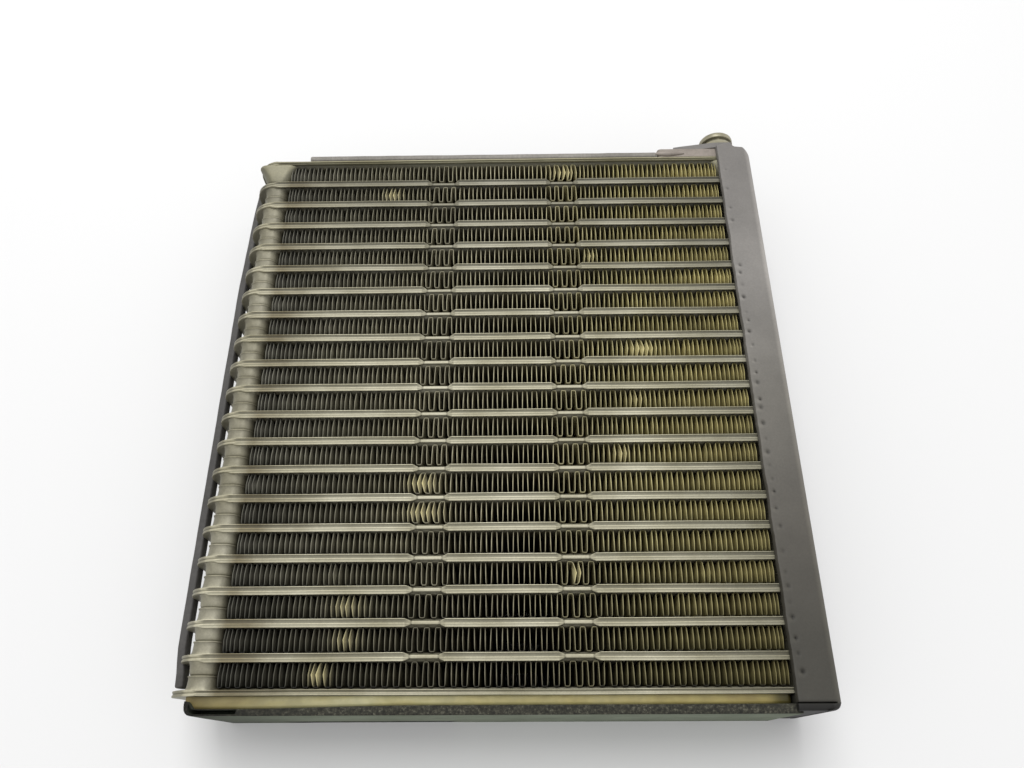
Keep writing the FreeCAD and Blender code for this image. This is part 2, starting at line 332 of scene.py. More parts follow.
# Rings of a cup as (distance from the middle of its tube, inset along x, inset along z). The cup on
# the far side of a tube ends in a small flange, which the cup of the next tube sits on.
cup_width = 9.7
cup_half_z = 18.4
cup_shoulder = 3.9
cup_middle = {-1: -half_length + 4.6 + cup_width / 2, 1: half_length - 0.5 - cup_width / 2}
cup_foot = [(0.6, 0.4, 0.2), (0.9, -0.5, -0.3), (1.3, -0.3, -0.25)]
cup_wall = [(1.9, -0.1, -0.1), (2.6, 0.0, 0.0)]
flanged_cup = cup_foot + cup_wall + [
    (3.6, 0.05, 0.05), (4.75, 0.1, 0.1), (5.0, 0.0, 0.0), (5.12, -0.12, -0.12), (5.38, -0.16, -0.16),
    (5.48, -0.06, -0.06), (5.5, 1.0, 1.0)]
plain_cup = cup_foot + cup_wall + [
    (3.6, 0.06, 0.06), (4.6, 0.16, 0.16), (5.1, 0.34, 0.34), (5.38, 0.6, 0.6), (5.5, 1.0, 1.0)]
short_cup = cup_foot + [(1.8, -0.1, -0.1), (2.2, 0.3, 0.3)]
deep_cup = [(0.6, -2.4, -0.6), (0.9, -4.0, -1.2), (1.4, -3.6, -1.1), (2.2, -3.0, -0.9), (3.4, -2.3, -0.7),
            (5.0, -1.6, -0.5), (7.0, -0.9, -0.3), (8.6, -0.4, -0.2), (9.2, 0.0, 0.0), (9.6, 0.8, 0.8)]


def cup_ring(side, y, inset_x, inset_z):
    """Closed ring of a cup: straight flanks with rounded shoulders at the top and the bottom."""
    half_x = cup_width / 2 - inset_x
    half_z = cup_half_z - inset_z
    radius = min(cup_shoulder, half_x - 0.2)
    quarter, _ = arc_stations(half_x - radius, half_z - radius, radius, 0, 90, 9)
    ring = np.concatenate([quarter, quarter[::-1] * (-1, 1), -quarter, quarter[::-1] * (1, -1)])
    return np.stack([cup_middle[side] + ring[:, 0], np.full(len(ring), y), z_mid + ring[:, 1]], axis=1)


def add_cups(points, faces, y, rings, direction):
    """Adds a cup at each end of a plate, on the side that the direction gives."""
    for side in (-1, 1):
        start = len(points)
        stack = [cup_ring(side, y + direction * d, ix, iz) for d, ix, iz in rings]
        columns = len(stack[0])
        points.extend(np.concatenate(stack))
        faces.extend(grid_faces(len(stack), columns, True, start))
        faces.append(tuple(range(start, start + columns)))
        faces.append(tuple(range(len(points) - columns, len(points))))


def plate_pair(name, number, y, cups, lip_share=1.0, near_face=-1.62, far_face=1.62, nose_curl=0.0,
               turned_round=False):
    """Mesh of one plate pair with its lips, faces and cups."""
    rng = np.random.default_rng(100 + number)
    sections, wear_and_painted_light = plate_points(y, rng, lip_share, near_face, far_face, nose_curl, turned_round)
    stations, across = sections.shape[:2]
    points = list(sections.reshape(-1, 3))
    faces = grid_faces(stations, across, False, looped=True)
    faces.append(tuple(s * across for s in range(stations)))
    faces.append(tuple(s * across + across - 1 for s in range(stations)))
    for rings, direction in cups:
        add_cups(points, faces, y, rings, direction)
    return mesh_piece(name, points, faces, wear_and_painted_light=wear_and_painted_light.ravel())


tube_names = sorted(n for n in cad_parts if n.startswith("tube_"))
for number, node_name in enumerate(tube_names, start=1):
    middle = box_mm(node_name)[0].y + row_pitch / 2
    far_cup = short_cup if number == len(tube_names) else flanged_cup
    pair = plate_pair("plate_pair_%02d" % number, number, middle, [(plain_cup, -1), (far_cup, 1)])
    place_piece(pair, plate_metal, "plate", node_name)


# End plates. The same pressed sheet closes the stack on the near side and on the far side. Its lips
# are narrower, and the one on the far side has a deep cup that spans the whole last row.
_, near_high = box_mm("near_end_plate")
far_low, far_high = box_mm("far_end_plate")
near_y = near_high.y - row_pitch / 2
far_y = far_low.y + deep_cup[-1][0]
end_lip_share = 0.62
near_plate = plate_pair("near_plate", 0, near_y, [(flanged_cup, 1)], end_lip_share, -1.0, 1.5, 1.4)
place_piece(near_plate, plate_metal, "end_plate", "near_end_plate")

# The far plate is the dustiest: more khaki, hardly any bare metal.
far_metal = aged_metal("dusty end plate", "#807b61", "#98947c", 0.2, 0.55, lip_shade=0.6, cup_film="#bcbcbc")
far_plate = plate_pair("far_plate", 20, far_y, [(deep_cup, -1)], end_lip_share, -1.5, 1.0,
                       turned_round=True)
place_piece(far_plate, far_metal, "end_plate", "far_end_plate")


# Connector. A thick block is brazed on behind the far plate and carries two short pipe ends, each
# with two collars and a groove for a sealing ring between them.
def rounded_ring(low_a, high_a, low_z, high_z, radius):
    """Rectangle with rounded corners and a few points along each side."""
    radius = min(radius, (high_a - low_a) / 2.05, (high_z - low_z) / 2.05)
    corners = [(high_a - radius, high_z - radius), (low_a + radius, high_z - radius),
               (low_a + radius, low_z + radius), (high_a - radius, low_z + radius)]
    arcs = [arc_stations(a, z, radius, 90 * quarter, 90 * quarter + 90, 4)[0]
            for quarter, (a, z) in enumerate(corners)]
    ring = []
    for quarter in range(4):
        steps = 6 if quarter % 2 else 3
        start, end = arcs[quarter][-1], arcs[(quarter + 1) % 4][0]
        shares = np.linspace(0, 1, steps + 2)[1:-1, None]
        ring += [arcs[quarter], start + (end - start) * shares]
    return np.concatenate(ring)


def stacked_piece(name, rings, sharp_angle=50, wear_and_painted_light=None):
    """Closed skin over rings of points that follow each other, with a cap at both ends."""
    rings = np.asarray(rings, float)
    count, columns = rings.shape[:2]
    faces = grid_faces(count, columns, True)
    faces.append(tuple(range(columns)))
    faces.append(tuple((count - 1) * columns + c for c in range(columns)))
    return mesh_piece(name, rings.reshape(-1, 3), faces, sharp_angle, wear_and_painted_light)


def along(axis, place, ring):
    """Ring of (across, up) points set at a place along X or along Y."""
    fixed = np.full(len(ring), place)
    columns = [fixed, ring[:, 0], ring[:, 1]] if axis == "x" else [ring[:, 0], fixed, ring[:, 1]]
    return np.stack(columns, axis=1)


def round_ring(centre, level, radius, count, widening=1.0):
    """Circle of (across, up) points, or an ellipse that is wider than it is high."""
    turns = np.radians(np.linspace(0, 360, count, endpoint=False))
    return np.stack([centre + widening * radius * np.cos(turns), level + radius * np.sin(turns)], axis=1)


# Bare aluminium bar with a pinkish grey tarnish.
block_metal = aged_metal("tarnished aluminium block", "#6f675f", "#877f77", 0.25, 0.55, patch=11.1)
# Turned pipe end, khaki with flux stains.
spigot_metal = aged_metal("turned aluminium spigot", "#6c6754", "#948f79", 0.35, 0.4, patch=8.33)

block_width = 35.9
block_right = half_length - 1.0
block_left = block_right - block_width
block_start = far_y + 0.9
block_back = far_y + 5.5
block_rings = []
block_steps = ((block_start, 0.0), (block_back - 0.6, 0.0), (block_back - 0.2, 0.15), (block_back, 0.6))
for place, inset in block_steps:
    ring = rounded_ring(block_left + inset, block_right - inset, z_low + inset, z_high - inset, 1.6)
    block_rings.append(along("y", place, ring))
block = stacked_piece("connector_block", block_rings)
place_piece(block, block_metal, "end_plate", "far_end_plate")

# A bead of braze has run out at the left end of the block.
bead_length = 13.0
bead_rings = []
for share, radius in ((0.0, 0.2), (0.15, 0.8), (0.4, 1.15), (0.7, 0.8), (0.9, 0.45), (1.0, 0.1)):
    ring = round_ring(block_start + 1.6, z_high + 0.2, radius, 12, 1.3)
    bead_rings.append(along("x", block_left - 1.2 + bead_length * share, ring))
bead = stacked_piece("braze_bead", bead_rings)
place_piece(bead, block_metal, "end_plate", "far_end_plate")

spigot_x = half_length - 7.6
spigot_levels = (z_mid - 10.0, z_mid + 10.0)
spigot_tip = far_high.y
# Distance back from the tip, and radius.
spigot_profile = [
    (12.0, 7.3), (4.5, 7.5), (4.3, 7.4), (4.2, 7.1), (4.2, 6.2), (4.1, 6.1), (2.5, 6.1), (2.4, 6.2),
    (2.4, 7.1), (2.3, 7.4), (2.1, 7.5), (0.5, 7.5), (0.2, 7.4), (0.0, 7.1), (0.0, 4.9), (0.2, 4.55),
    (1.0, 4.5), (14.0, 4.5)]
for label, level in zip(("lower_spigot", "upper_spigot"), spigot_levels):
    spigot_rings = [along("y", spigot_tip - back, round_ring(spigot_x, level, radius, 48))
                    for back, radius in spigot_profile]
    spigot = stacked_piece(label, spigot_rings, 35)
    place_piece(spigot, spigot_metal, "end_plate", "far_end_plate")


# Crossover cover. A shallow drawn tray is brazed on the outer face of the near plate. Its upper edge
# is softly rolled, its left end is round and its right end, under the wrap, nearly square.
tray_low, tray_high = box_mm("near_passage")

# Stained sheet: yellow khaki, greenish where the film is thin, brown where water dried. The stains
# are drawn out along the tray.
tray_metal, tree, place, at = new_material("stained aluminium tray")
long_way = add_node(tree, "Mapping", {"Vector": place, "Scale": (0.25, 1.0, 1.0)})
clouds = add_node(tree, "TexNoise", {"Vector": long_way, "Scale": 1 / 9.09, "Detail": 4.0, "Roughness": 0.6})
film = add_node(tree, "ValToRGB", [clouds], [(0.3, "#9a8b62"), (0.5, "#b9b180"), (0.7, "#beba96")])
drops = add_node(tree, "TexNoise", {"Vector": place, "Scale": 1 / 3.85, "Detail": 3.0, "Roughness": 0.55})
dried = add_node(tree, "MapRange", (drops, 0.35, 0.65, 0.88, 1.06))
# Along the tray: browner at the left end, and at the right end, under the wrap, painted dark as the wrap's
# shadow.
share = add_node(tree, "MapRange", (at["X"], tray_low.x - 0.7, tray_high.x + 2.0, 0.0, 1.0))
ends = add_node(tree, "ValToRGB", [share], [
    (0.0, "#a3977e"), (0.3, "#ffffff"), (0.7, "#f0e8d4"), (0.955, "#e4dabc"), (0.975, "#8a8560"),
    (1.0, "#4a4a38")])
close_material(tree, {"Base Color": layered(tree, film, dried, ends), "Metallic": 0.15, "Roughness": 0.45})


def tray_bulge(x):
    """How far the front of the tray stands out near its left end."""
    return 0.9 * (1 - ramp(x, -85.0, -25.0))


# Rings from the lower edge to the upper one, as (height, inset of the front).
tray_foot = ((0.0, 1.2), (0.2, 0.5), (0.9, 0.1), (2.0, 0.0))
tray_brim = ((2.0, 0.0), (0.9, 0.1), (0.25, 0.45), (0.0, 1.1))
tray_levels = [(tray_low.z + rise, inset) for rise, inset in tray_foot]
tray_levels += [(tray_high.z - fall, inset) for fall, inset in tray_brim]
tray_rings = []
for z, inset in tray_levels:
    front = tray_low.y + inset
    bows = []
    for side, end_x, corner in ((-1, tray_low.x + inset, 2.6), (1, tray_high.x + 1.2 - inset, 0.8)):
        bow, _ = arc_stations(0, 0, corner, 0, 90, 7)
        bows.append((end_x - side * corner, front + corner) + bow * (side, -1))
    straight = np.stack([np.linspace(-90.0, 80.0, 18), np.full(18, front)], axis=1)
    face = np.concatenate([bows[0], straight, bows[1][::-1]])
    face[:, 1] -= tray_bulge(face[:, 0])
    ring = np.concatenate([face, face[::-1] * (1, 0) + (0, tray_high.y)])
    tray_rings.append(np.column_stack([ring, np.full(len(ring), z)]))
columns = len(ring)
tray_faces = grid_faces(len(tray_rings), columns, True)
for start in (0, (len(tray_rings) - 1) * columns):
    tray_faces += [(start + c, start + c + 1, start + columns - 2 - c, start + columns - 1 - c)
                   for c in range(columns // 2 - 1)]
tray = mesh_piece("crossover_tray", np.concatenate(tray_rings), tray_faces, 60)
place_piece(tray, tray_metal, "end_plate", "near_passage")


# Fins. Each row is one thin strip of aluminium folded to and fro between two tubes. The edges of
# its legs lean a little, most of all where something has brushed over them.
# Coated sheet: olive grey on the left, khaki on the right, pale where a leg is bent over. The left part is
# painted darker, as the shade on the faces of the legs that show there.
fin_sheet, tree, place, at = new_material("coated aluminium fin")
share = add_node(tree, "MapRange", (at["X"], -90.0, 90.0, 0.0, 1.0))
coat_and_side_shade = add_node(tree, "ValToRGB", [share], [
    (0.0, "#66645a"), (0.25, "#827e6a"), (0.5, "#a09a80"), (0.8, "#a59d70"), (1.0, "#a49a68")])
clouds = add_node(tree, "TexNoise", {"Vector": place, "Scale": 1 / 16.7, "Detail": 4.0, "Roughness": 0.6})
dust = add_node(tree, "MapRange", (clouds, 0.3, 0.7, 0.75, 1.3))
# The sheet is painted paler further in, as painted light that lifts the shade between the legs, and it is
# dustier in the last row.
painted_gap_light = add_node(tree, "MapRange", (off_middle(tree, at), half_depth - 3.5, half_depth - 0.3, 1.7, 1.0))
dusty = add_node(tree, "MapRange", (at["Y"], last_row - 0.1, last_row + 0.2, 1.0, 1.1))
# Painted shade darkens the folds under the lips, but not where the drain notches leave them open. In and
# next to the notches the sheet is painted a little darker, as shade.
distances = []
for notch_x in notch_places:
    from_notch = add_node(tree, "Math", (at["X"], notch_x), operation="SUBTRACT")
    distances.append(add_node(tree, "Math", [from_notch], operation="ABSOLUTE"))
nearest = add_node(tree, "Math", distances, operation="MINIMUM")
crest = add_node(tree, "Attribute", attribute_name="crest").outputs["Fac"]
under_lips = add_node(tree, "MapRange", (nearest, notch_half - 0.1, notch_half + 1.9, 0.25, 1.0))
covered = add_node(tree, "Math", (crest, under_lips), operation="MULTIPLY")
lip_shade = add_node(tree, "MapRange", (covered, 0.0, 1.0, 1.0, 0.07))
shaded = add_node(tree, "MapRange", (nearest, notch_half + 0.1, notch_half + 1.7, 0.75, 1.0))
# Painted shade: the near rows are darker.
share = add_node(tree, "MapRange", (at["Y"], -120.0, 110.0, 0.0, 1.0))
near_row_shade = add_node(tree, "ValToRGB", [share], [
    (0.0, "#949494"), (0.25, "#e0e0e0"), (0.5, "#ececec"), (1.0, "#e6e6e6")])
bent = add_node(tree, "Attribute", attribute_name="bent").outputs["Fac"]
tone = add_node(tree, "Mix", {
    "Factor": bent, "A": layered(tree, coat_and_side_shade, dust, painted_gap_light, dusty, lip_shade, shaded, near_row_shade),
    "B": linear("#d8cc98")}, data_type="RGBA")
close_material(tree, {"Base Color": tone, "Metallic": 0.1, "Roughness": 0.55, "Specular IOR Level": 0.2})

samples_per_leg = 8
depth_steps = 6
full_paling = 1.25


def fin_tree():
    """Node tree that folds a flat strip into rounded legs and gives it its thickness."""
    tree = bpy.data.node_groups.new("folded fin", "GeometryNodeTree")
    sockets = {}
    for label, kind in (
            ("Legs", "Int"), ("Leg pitch", "Float"), ("Fold height", "Float"), ("Depth", "Float"),
            ("Sheet", "Float"), ("Lean", "Float"), ("Bent leg", "Float"), ("Bent reach", "Float"),
            ("Bent push", "Float"), ("Squeeze", "Float"), ("Middle", "Vector"), ("Seed", "Int"),
            ("Material", "Material")):
        sockets[label] = tree.interface.new_socket(label, in_out="INPUT", socket_type="NodeSocket" + kind)
    tree.interface.new_socket("Geometry", in_out="OUTPUT", socket_type="NodeSocketGeometry")
    known = dict(add_node(tree, "NodeGroupInput").outputs.items())
    at = add_node(tree, "SeparateXYZ", [add_node(tree, "GeometryNodeInputPosition")]).outputs
    known.update({"along": at["X"], "through": at["Y"]})

    # Each row is one step of arithmetic: its result, its operation, and numbers or earlier results.
    # A squared-off cosine, the wave, runs between the two tubes, and a sine makes the legs steep
    # between its crests. The first and the last legs are squeezed together.
    folding = [
        ("columns", "MULTIPLY_ADD", "Legs", samples_per_leg, 1.0),
        ("share", "ADD", "along", 0.5),
        ("leg", "MULTIPLY", "share", "Legs"),
        ("turn", "MULTIPLY", "leg", math.pi),
        ("swing", "COSINE", "turn"),
        ("wide swing", "MULTIPLY", "swing", 3.0),
        ("square swing", "TANH", "wide swing"),
        ("wave", "DIVIDE", "square swing", math.tanh(3.0)),
        ("double turn", "MULTIPLY", "turn", 2.0),
        ("fast swing", "SINE", "double turn"),
        ("steep", "MULTIPLY", "fast swing", 0.75 / (2 * math.pi)),
        ("steep leg", "ADD", "leg", "steep"),
        ("half the legs", "MULTIPLY", "Legs", 0.5),
        ("centred", "SUBTRACT", "steep leg", "half the legs"),
        ("from first", "DIVIDE", "leg", -2.5),
        ("near first", "EXPONENT", "from first"),
        ("legs left", "SUBTRACT", "Legs", "leg"),
        ("from last", "DIVIDE", "legs left", -2.5),
        ("near last", "EXPONENT", "from last"),
        ("inward", "SUBTRACT", "near first", "near last"),
        ("squeezed", "MULTIPLY_ADD", "inward", "Squeeze", "centred"),
        ("x", "MULTIPLY", "squeezed", "Leg pitch"),
        ("half height", "MULTIPLY", "Fold height", 0.5),
        ("y", "MULTIPLY", "wave", "half height"),
        ("half turn", "MULTIPLY", "through", math.pi),
        ("level", "SINE", "half turn"),
        ("half depth", "MULTIPLY", "Depth", 0.5),
        ("z", "MULTIPLY", "level", "half depth"),
        ("off middle", "ABSOLUTE", "level"),
        ("edge", "POWER", "off middle", 22.0),
        ("crests", "MULTIPLY", "wave", "wave"),
        ("bowed", "SUBTRACT", 1.0, "crests"),
        ("leg number", "FLOOR", "leg"),
        ("other seed", "ADD", "Seed", 40.5),
        ("low level", "MULTIPLY", "level", 0.6),
    ]
    for result, operation, *terms in folding:
        values = [known.get(term, term) for term in terms]
        known[result] = add_node(tree, "Math", values, operation=operation)
    strip = add_node(tree, "GeometryNodeMeshGrid", {
        "Size X": 1.0, "Size Y": 1.0, "Vertices X": known["columns"], "Vertices Y": depth_steps + 1})

    # Each leg leans by its own amount, more so in brushed patches, and wanders a little.
    known["own lean"] = add_node(tree, "FunctionNodeRandomValue", {
        "Min": 0.4, "Max": 1.0, "ID": known["leg number"], "Seed": known["Seed"]}, data_type="FLOAT")
    brushed = add_node(tree, "TexNoise", {
        "Vector": add_node(tree, "CombineXYZ", (known["leg"], known["Seed"], 0.0)),
        "Scale": 0.16, "Detail": 1.0})
    known["patch"] = add_node(tree, "MapRange", (brushed, 0.62, 0.75, 0.0, 1.2))
    known["ripple"] = add_node(tree, "TexNoise", {
        "Vector": add_node(tree, "CombineXYZ", (
            known["leg"], known["other seed"], known["low level"])),
        "Scale": 0.45, "Detail": 1.0})
    # Legs lean outward, away from the middle of the core, and hardest where something knocked them.
    leaning = [
        ("distance", "SUBTRACT", "leg", "Bent leg"),
        ("away", "DIVIDE", "distance", "Bent reach"),
        ("far away", "MULTIPLY", "away", "away"),
        ("fading", "MULTIPLY", "far away", -1.0),
        ("knock", "EXPONENT", "fading"),
        ("outward", "MULTIPLY_ADD", "along", 1.7, -0.12),
        ("brushed lean", "ADD", "own lean", "patch"),
        ("gentle", "MULTIPLY", "brushed lean", "outward"),
        ("gentle push", "MULTIPLY", "gentle", "Lean"),
        ("push", "MULTIPLY_ADD", "knock", "Bent push", "gentle push"),
        ("bowed push", "MULTIPLY", "push", "bowed"),
        ("lean", "MULTIPLY", "bowed push", "edge"),
        ("swerve", "SUBTRACT", "ripple", 0.5),
        ("freedom", "MULTIPLY", "Leg pitch", 0.6),
        ("wander", "MULTIPLY", "swerve", "freedom"),
        ("leaning x", "ADD", "x", "lean"),
        ("shifted", "ADD", "leaning x", "wander"),
        ("hard push", "ABSOLUTE", "Bent push"),
        ("paling", "DIVIDE", "hard push", full_paling * MM),
        ("paled", "MINIMUM", "paling", 1.0),
        ("knocked edge", "MULTIPLY", "knock", "edge"),
        ("knocked bow", "MULTIPLY", "knocked edge", "bowed"),
        ("bent", "MULTIPLY", "knocked bow", "paled"),
        ("sharp wave", "POWER", "wave", 4.0),
        ("far side", "MULTIPLY_ADD", "wave", -0.1, 0.9),
        ("crest", "MULTIPLY", "sharp wave", "far side"),
    ]
    for result, operation, *terms in leaning:
        values = [known.get(term, term) for term in terms]
        known[result] = add_node(tree, "Math", values, operation=operation)

    folded = add_node(tree, "CombineXYZ", (known["shifted"], known["y"], known["z"]))
    placed = add_node(tree, "VectorMath", (folded, known["Middle"]), operation="ADD")
    marked = strip
    for label in ("bent", "crest"):
        marked = add_node(tree, "GeometryNodeStoreNamedAttribute", {
            "Geometry": marked, "Name": label, "Value": known[label]}, data_type="FLOAT", domain="POINT")
    sheet = add_node(tree, "GeometryNodeSetPosition", {"Geometry": marked, "Position": placed})
    half_sheet = add_node(tree, "Math", (known["Sheet"], -0.5), operation="MULTIPLY")
    inward = add_node(tree, "VectorMath", {
        0: add_node(tree, "GeometryNodeInputNormal"), "Scale": half_sheet}, operation="SCALE")
    front = add_node(tree, "GeometryNodeSetPosition", {"Geometry": sheet, "Offset": inward})
    thick = add_node(tree, "GeometryNodeExtrudeMesh", {
        "Mesh": front, "Offset Scale": known["Sheet"], "Individual": False}, mode="FACES")
    back = add_node(tree, "GeometryNodeFlipFaces", {"Mesh": front})
    both = add_node(tree, "GeometryNodeJoinGeometry")
    tree.links.new(thick.outputs["Mesh"], both.inputs[0])
    tree.links.new(back.outputs["Mesh"], both.inputs[0])
    closed = add_node(tree, "GeometryNodeMergeByDistance", {"Geometry": both, "Distance": 1e-6})
    flat = add_node(tree, "GeometryNodeSetShadeSmooth", {"Geometry": closed, "Shade Smooth": False})
    real = add_node(tree, "GeometryNodeRealizeInstances", {"Geometry": flat})
    painted = add_node(tree, "GeometryNodeSetMaterial", {"Geometry": real, "Material": known["Material"]})
    add_node(tree, "NodeGroupOutput", {"Geometry": painted})
    return tree, sockets


folded_fin, fin_inputs = fin_tree()
fin_leg_pitch = 1.875
fin_thickness = 0.24
fin_lean = 0.52
squeeze = 1.4
# Rows where something has knocked the legs over: (x of the middle, reach in legs, push in millimetres).
bent_places = {1: (-58.2, 1.7, -1.2), 2: (-50.2, 2.0, -0.8), 3: (-50.8, 2.6, -0.8), 4: (27.2, 1.0, 1.4),
               6: (-25.5, 3.6, -1.1), 7: (-26.7, 2.8, -1.3), 8: (45.6, 1.6, 0.9), 10: (53.1, 1.8, 0.7),
               12: (56.2, 3.0, 1.2), 16: (38.0, 1.4, 0.8), 19: (-45.4, 2.2, -1.0), 20: (28.1, 3.0, 1.2)}
fin_names = sorted(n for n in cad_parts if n.startswith("fin_"))
for number, node_name in enumerate(fin_names, start=1):
    low, high = box_mm(node_name)
    holder = bpy.data.objects.new("holder", bpy.data.meshes.new("holder"))
    bpy.context.scene.collection.objects.link(holder)
    modifier = holder.modifiers.new("fold", "NODES")
    modifier.node_group = folded_fin
    legs = int((high.x - low.x - 0.6) / fin_leg_pitch + 2 * squeeze)
    bent_x, bent_reach, bent_push = bent_places.get(number, (1000.0, 1.0, 0.0))
    values = {
        "Legs": legs,
        "Leg pitch": fin_leg_pitch * MM,
        "Fold height": (high.y - low.y - fin_thickness) * MM,
        "Depth": (high.z - low.z) * MM,
        "Sheet": fin_thickness * MM,
        "Lean": fin_lean * MM,
        "Bent leg": (bent_x - (low.x + high.x) / 2) / fin_leg_pitch + legs / 2,
        "Bent reach": bent_reach,
        "Bent push": bent_push * MM,
        "Squeeze": squeeze,
        "Middle": (low + high) / 2 * MM,
        "Seed": 7 * number,
        "Material": fin_sheet,
    }
    for label, value in values.items():
        modifier[fin_inputs[label].identifier] = value
    evaluated = holder.evaluated_get(bpy.context.evaluated_depsgraph_get())
    mesh = bpy.data.meshes.new_from_object(evaluated)
    mesh.name = "folded_fin_%02d" % number
    fin = bpy.data.objects.new(mesh.name, mesh)
    bpy.context.scene.collection.objects.link(fin)
    bpy.data.objects.remove(holder)
    place_piece(fin, fin_sheet, "fin", node_name)


# Foam strips. Strips cut from closed-cell foam are bonded along the noses, on the far plate and over
# the tray. Their edges are a little uneven, and the one over the tray has lost its skin at one end.
def cell_foam(name, dark, light, cell_size):
    """Closed-cell foam: two dusty tones, and small dark pores on its skin."""
    material, tree, place, _ = new_material(name)
    clouds = add_node(tree, "TexNoise", {
        "Vector": place, "Scale": 1 / 22.2, "Detail": 4.0, "Roughness": 0.6})
    film = add_node(tree, "ValToRGB", [clouds], [(0.3, dark), (0.7, light)])
    cells = add_node(tree, "TexNoise", {
        "Vector": place, "Scale": 1 / cell_size, "Detail": 3.0, "Roughness": 0.7})
    pores = add_node(tree, "MapRange", (cells, 0.35, 0.65, 0.8, 1.12))
    close_material(tree, {"Base Color": layered(tree, film, pores), "Roughness": 0.65, "Sheen Weight": 0.15},
                   cells, 0.3, 0.2)
    return material


# The seed keeps the unevenness of the bars the same in every run.
noise.seed_set(5)


def soft_bar(name, axis, places, sections, radius, unevenness=0.1):
    """Foam bar with rounded edges and ends. Each place along the axis has (low, high, low z, high z)."""
    first, last = places[0], places[-1]
    rings = []
    for place, (low_a, high_a, low_level, high_level) in zip(places, sections):
        gone = min(place - first, last - place, radius)
        inset = radius - math.sqrt(max(radius ** 2 - (radius - gone) ** 2, 0.0))
        ring = rounded_ring(low_a + inset, high_a - inset, low_level + inset, high_level - inset, radius)
        rings.append(along(axis, place, ring))
    rings = np.array(rings)
    for point in rings.reshape(-1, 3):
        swell = np.array(noise.noise_vector(point * 0.11))
        ripple = np.array(noise.noise_vector(point * 0.5))
        point += unevenness * (swell + 0.5 * ripple)
    return stacked_piece(name, rings)


def bar_places(first, last, radius, step):
    """Places along a bar, closer together at both ends."""
    ends = np.array([0.0, 0.08, 0.25, 0.55, 1.0]) * radius
    middle = np.linspace(first + radius, last - radius, max(int((last - first) / step), 2))[1:-1]
    return np.concatenate([first + ends, middle, (last - ends)[::-1]])


# Dark grey foam. Its cells are drawn larger than real ones, to show.
strip_foam = cell_foam("edge strip foam", "#2e2c29", "#444240", 1.43)
low, high = box_mm("left_seal")
places = bar_places(low.y, high.y, 0.7, 4.0)
near_pull = 1.3 * ramp(-places, -low.y - 16.0, -low.y)
far_pull = 0.4 * ramp(places, high.y - 14.0, high.y)
# It was stuck on a little askew, lower towards the far end.
drops = np.interp(places, (46.0, high.y), (0.0, 4.4))
sections = [(low.x + pull, high.x + pull, low.z - drop, high.z - drop)
            for pull, drop in zip(near_pull + far_pull, drops)]
left_strip = soft_bar("nose_strip", "y", places, sections, 0.7)
place_piece(left_strip, strip_foam, "foam", "left_seal")

# Grey foam, with cells of the same kind.
far_foam = cell_foam("far strip foam", "#69655e", "#827e77", 1.11)
low, high = box_mm("far_seal")
places = bar_places(low.x, high.x, 0.6, 4.0)
sections = [(low.y, high.y, low.z, high.z - 1.2)] * len(places)
far_strip = soft_bar("far_strip", "x", places, sections, 0.6)
place_piece(far_strip, far_foam, "foam", "far_seal")

low, high = box_mm("near_seal")
# Stretch where the foot of the strip doesn't touch the table: (start, end) of its left and right edge.
foot_left = (-80.0, -71.0)
foot_right = (-18.0, -14.0)

# Foam cut through its cells: greenish grey skin in front, dark and speckled with dust on the cut. Its
# cells are drawn 0.9 mm wide, larger than real ones, to show.
near_foam, tree, place, at = new_material("near strip foam")
clouds = add_node(tree, "TexNoise", {"Vector": place, "Scale": 1 / 16.7, "Detail": 4.0, "Roughness": 0.55})
skin_tone = add_node(tree, "ValToRGB", [clouds], [(0.3, "#5c6353"), (0.7, "#6f7666")])
cells = add_node(tree, "TexNoise", {"Vector": place, "Scale": 1 / 0.909, "Detail": 3.0, "Roughness": 0.75})
cut_tone = add_node(tree, "ValToRGB", [cells], [
    (0.38, "#1f1f1b"), (0.55, "#34332b"), (0.74, "#605f53")])
on_cut = add_node(tree, "MapRange", (at["Z"], high.z - 0.6, high.z - 0.3, 0.0, 1.0))
front_tone = add_node(tree, "Mix", {
    "Factor": on_cut, "A": skin_tone, "B": cut_tone}, data_type="RGBA")
left_end = add_node(tree, "MapRange", (at["X"], -100.0, -60.0, 0.3, 1.0))
# The lifted stretch of the foot is in deep shadow.
lifted = add_node(tree, "Math", (
    add_node(tree, "MapRange", (at["X"], *foot_left, 0.0, 1.0)),
    add_node(tree, "MapRange", (at["X"], *foot_right, 1.0, 0.0))), operation="MULTIPLY")
shadow = add_node(tree, "MapRange", (at["Z"], 8.5, 10.0, 0.1, 1.0))
foot = add_node(tree, "Mix", {
    "Factor": lifted, "A": linear("#ffffff"), "B": shadow}, data_type="RGBA")
close_material(tree, {"Base Color": layered(tree, front_tone, left_end, foot), "Roughness": 0.85,
                      "Specular IOR Level": 0.25}, cells, 0.3, 0.2)

